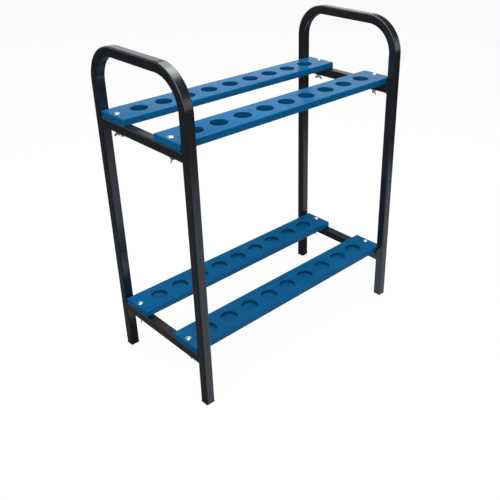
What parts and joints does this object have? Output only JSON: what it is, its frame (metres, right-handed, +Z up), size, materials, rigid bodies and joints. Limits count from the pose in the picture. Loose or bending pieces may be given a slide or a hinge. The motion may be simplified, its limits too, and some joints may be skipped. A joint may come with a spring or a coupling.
{
  "type": "tube rack",
  "caption": "Floor-standing rack with bent-tube end frames and tiers of drilled boards that hold long tubes or bars upright, clamped by carriage bolts and wing nuts.",
  "frame": {"origin": "on the floor, at the middle of the rack's plan", "axes": "+Z up, X along the boards, -Y the front"},
  "size_m": [0.738, 0.377, 0.886],
  "materials": {
    "black_powder_coat": "satin powder coat with a fine orange peel",
    "blue_paint": "wooden board under satin blue paint",
    "zinc_plate": "bright zinc plate",
    "black_plastic": "moulded, lightly textured"
  },
  "bodies": {
    "rack": {"left_hoop": "black_powder_coat", "left_weld_beads": "black_powder_coat", "left_lower_rail": "black_powder_coat", "left_upper_rail": "black_powder_coat", "left_front_foot_plug": "black_plastic", "left_back_foot_plug": "black_plastic", "right_hoop": "black_powder_coat", "right_weld_beads": "black_powder_coat", "right_lower_rail": "black_powder_coat", "right_upper_rail": "black_powder_coat", "right_front_foot_plug": "black_plastic", "right_back_foot_plug": "black_plastic", "lower_front_board": "blue_paint", "lower_front_left_bolt": "zinc_plate", "lower_front_left_washer": "zinc_plate", "lower_front_right_bolt": "zinc_plate", "lower_front_right_washer": "zinc_plate", "lower_back_board": "blue_paint", "lower_back_left_bolt": "zinc_plate", "lower_back_left_washer": "zinc_plate", "lower_back_right_bolt": "zinc_plate", "lower_back_right_washer": "zinc_plate", "upper_front_board": "blue_paint", "upper_front_left_bolt": "zinc_plate", "upper_front_left_washer": "zinc_plate", "upper_front_right_bolt": "zinc_plate", "upper_front_right_washer": "zinc_plate", "upper_back_board": "blue_paint", "upper_back_left_bolt": "zinc_plate", "upper_back_left_washer": "zinc_plate", "upper_back_right_bolt": "zinc_plate", "upper_back_right_washer": "zinc_plate"},
    "lower_front_left_nut": {"lower_front_left_wing_nut": "zinc_plate"},
    "lower_front_right_nut": {"lower_front_right_wing_nut": "zinc_plate"},
    "lower_back_left_nut": {"lower_back_left_wing_nut": "zinc_plate"},
    "lower_back_right_nut": {"lower_back_right_wing_nut": "zinc_plate"},
    "upper_front_left_nut": {"upper_front_left_wing_nut": "zinc_plate"},
    "upper_front_right_nut": {"upper_front_right_wing_nut": "zinc_plate"},
    "upper_back_left_nut": {"upper_back_left_wing_nut": "zinc_plate"},
    "upper_back_right_nut": {"upper_back_right_wing_nut": "zinc_plate"}
  },
  "joints": [
    {"name": "lower_front_left_nut_turn", "type": "hinge", "parent": "rack", "child": "lower_front_left_nut", "pos_m": [-0.356, -0.11, 0.1234], "axis": [0, 0, 1], "continuous": true},
    {"name": "lower_front_right_nut_turn", "type": "hinge", "parent": "rack", "child": "lower_front_right_nut", "pos_m": [0.356, -0.11, 0.1234], "axis": [0, 0, 1], "continuous": true},
    {"name": "lower_back_left_nut_turn", "type": "hinge", "parent": "rack", "child": "lower_back_left_nut", "pos_m": [-0.356, 0.11, 0.1234], "axis": [0, 0, 1], "continuous": true},
    {"name": "lower_back_right_nut_turn", "type": "hinge", "parent": "rack", "child": "lower_back_right_nut", "pos_m": [0.356, 0.11, 0.1234], "axis": [0, 0, 1], "continuous": true},
    {"name": "upper_front_left_nut_turn", "type": "hinge", "parent": "rack", "child": "upper_front_left_nut", "pos_m": [-0.356, -0.11, 0.6744], "axis": [0, 0, 1], "continuous": true},
    {"name": "upper_front_right_nut_turn", "type": "hinge", "parent": "rack", "child": "upper_front_right_nut", "pos_m": [0.356, -0.11, 0.6744], "axis": [0, 0, 1], "continuous": true},
    {"name": "upper_back_left_nut_turn", "type": "hinge", "parent": "rack", "child": "upper_back_left_nut", "pos_m": [-0.356, 0.11, 0.6744], "axis": [0, 0, 1], "continuous": true},
    {"name": "upper_back_right_nut_turn", "type": "hinge", "parent": "rack", "child": "upper_back_right_nut", "pos_m": [0.356, 0.11, 0.6744], "axis": [0, 0, 1], "continuous": true}
  ]
}
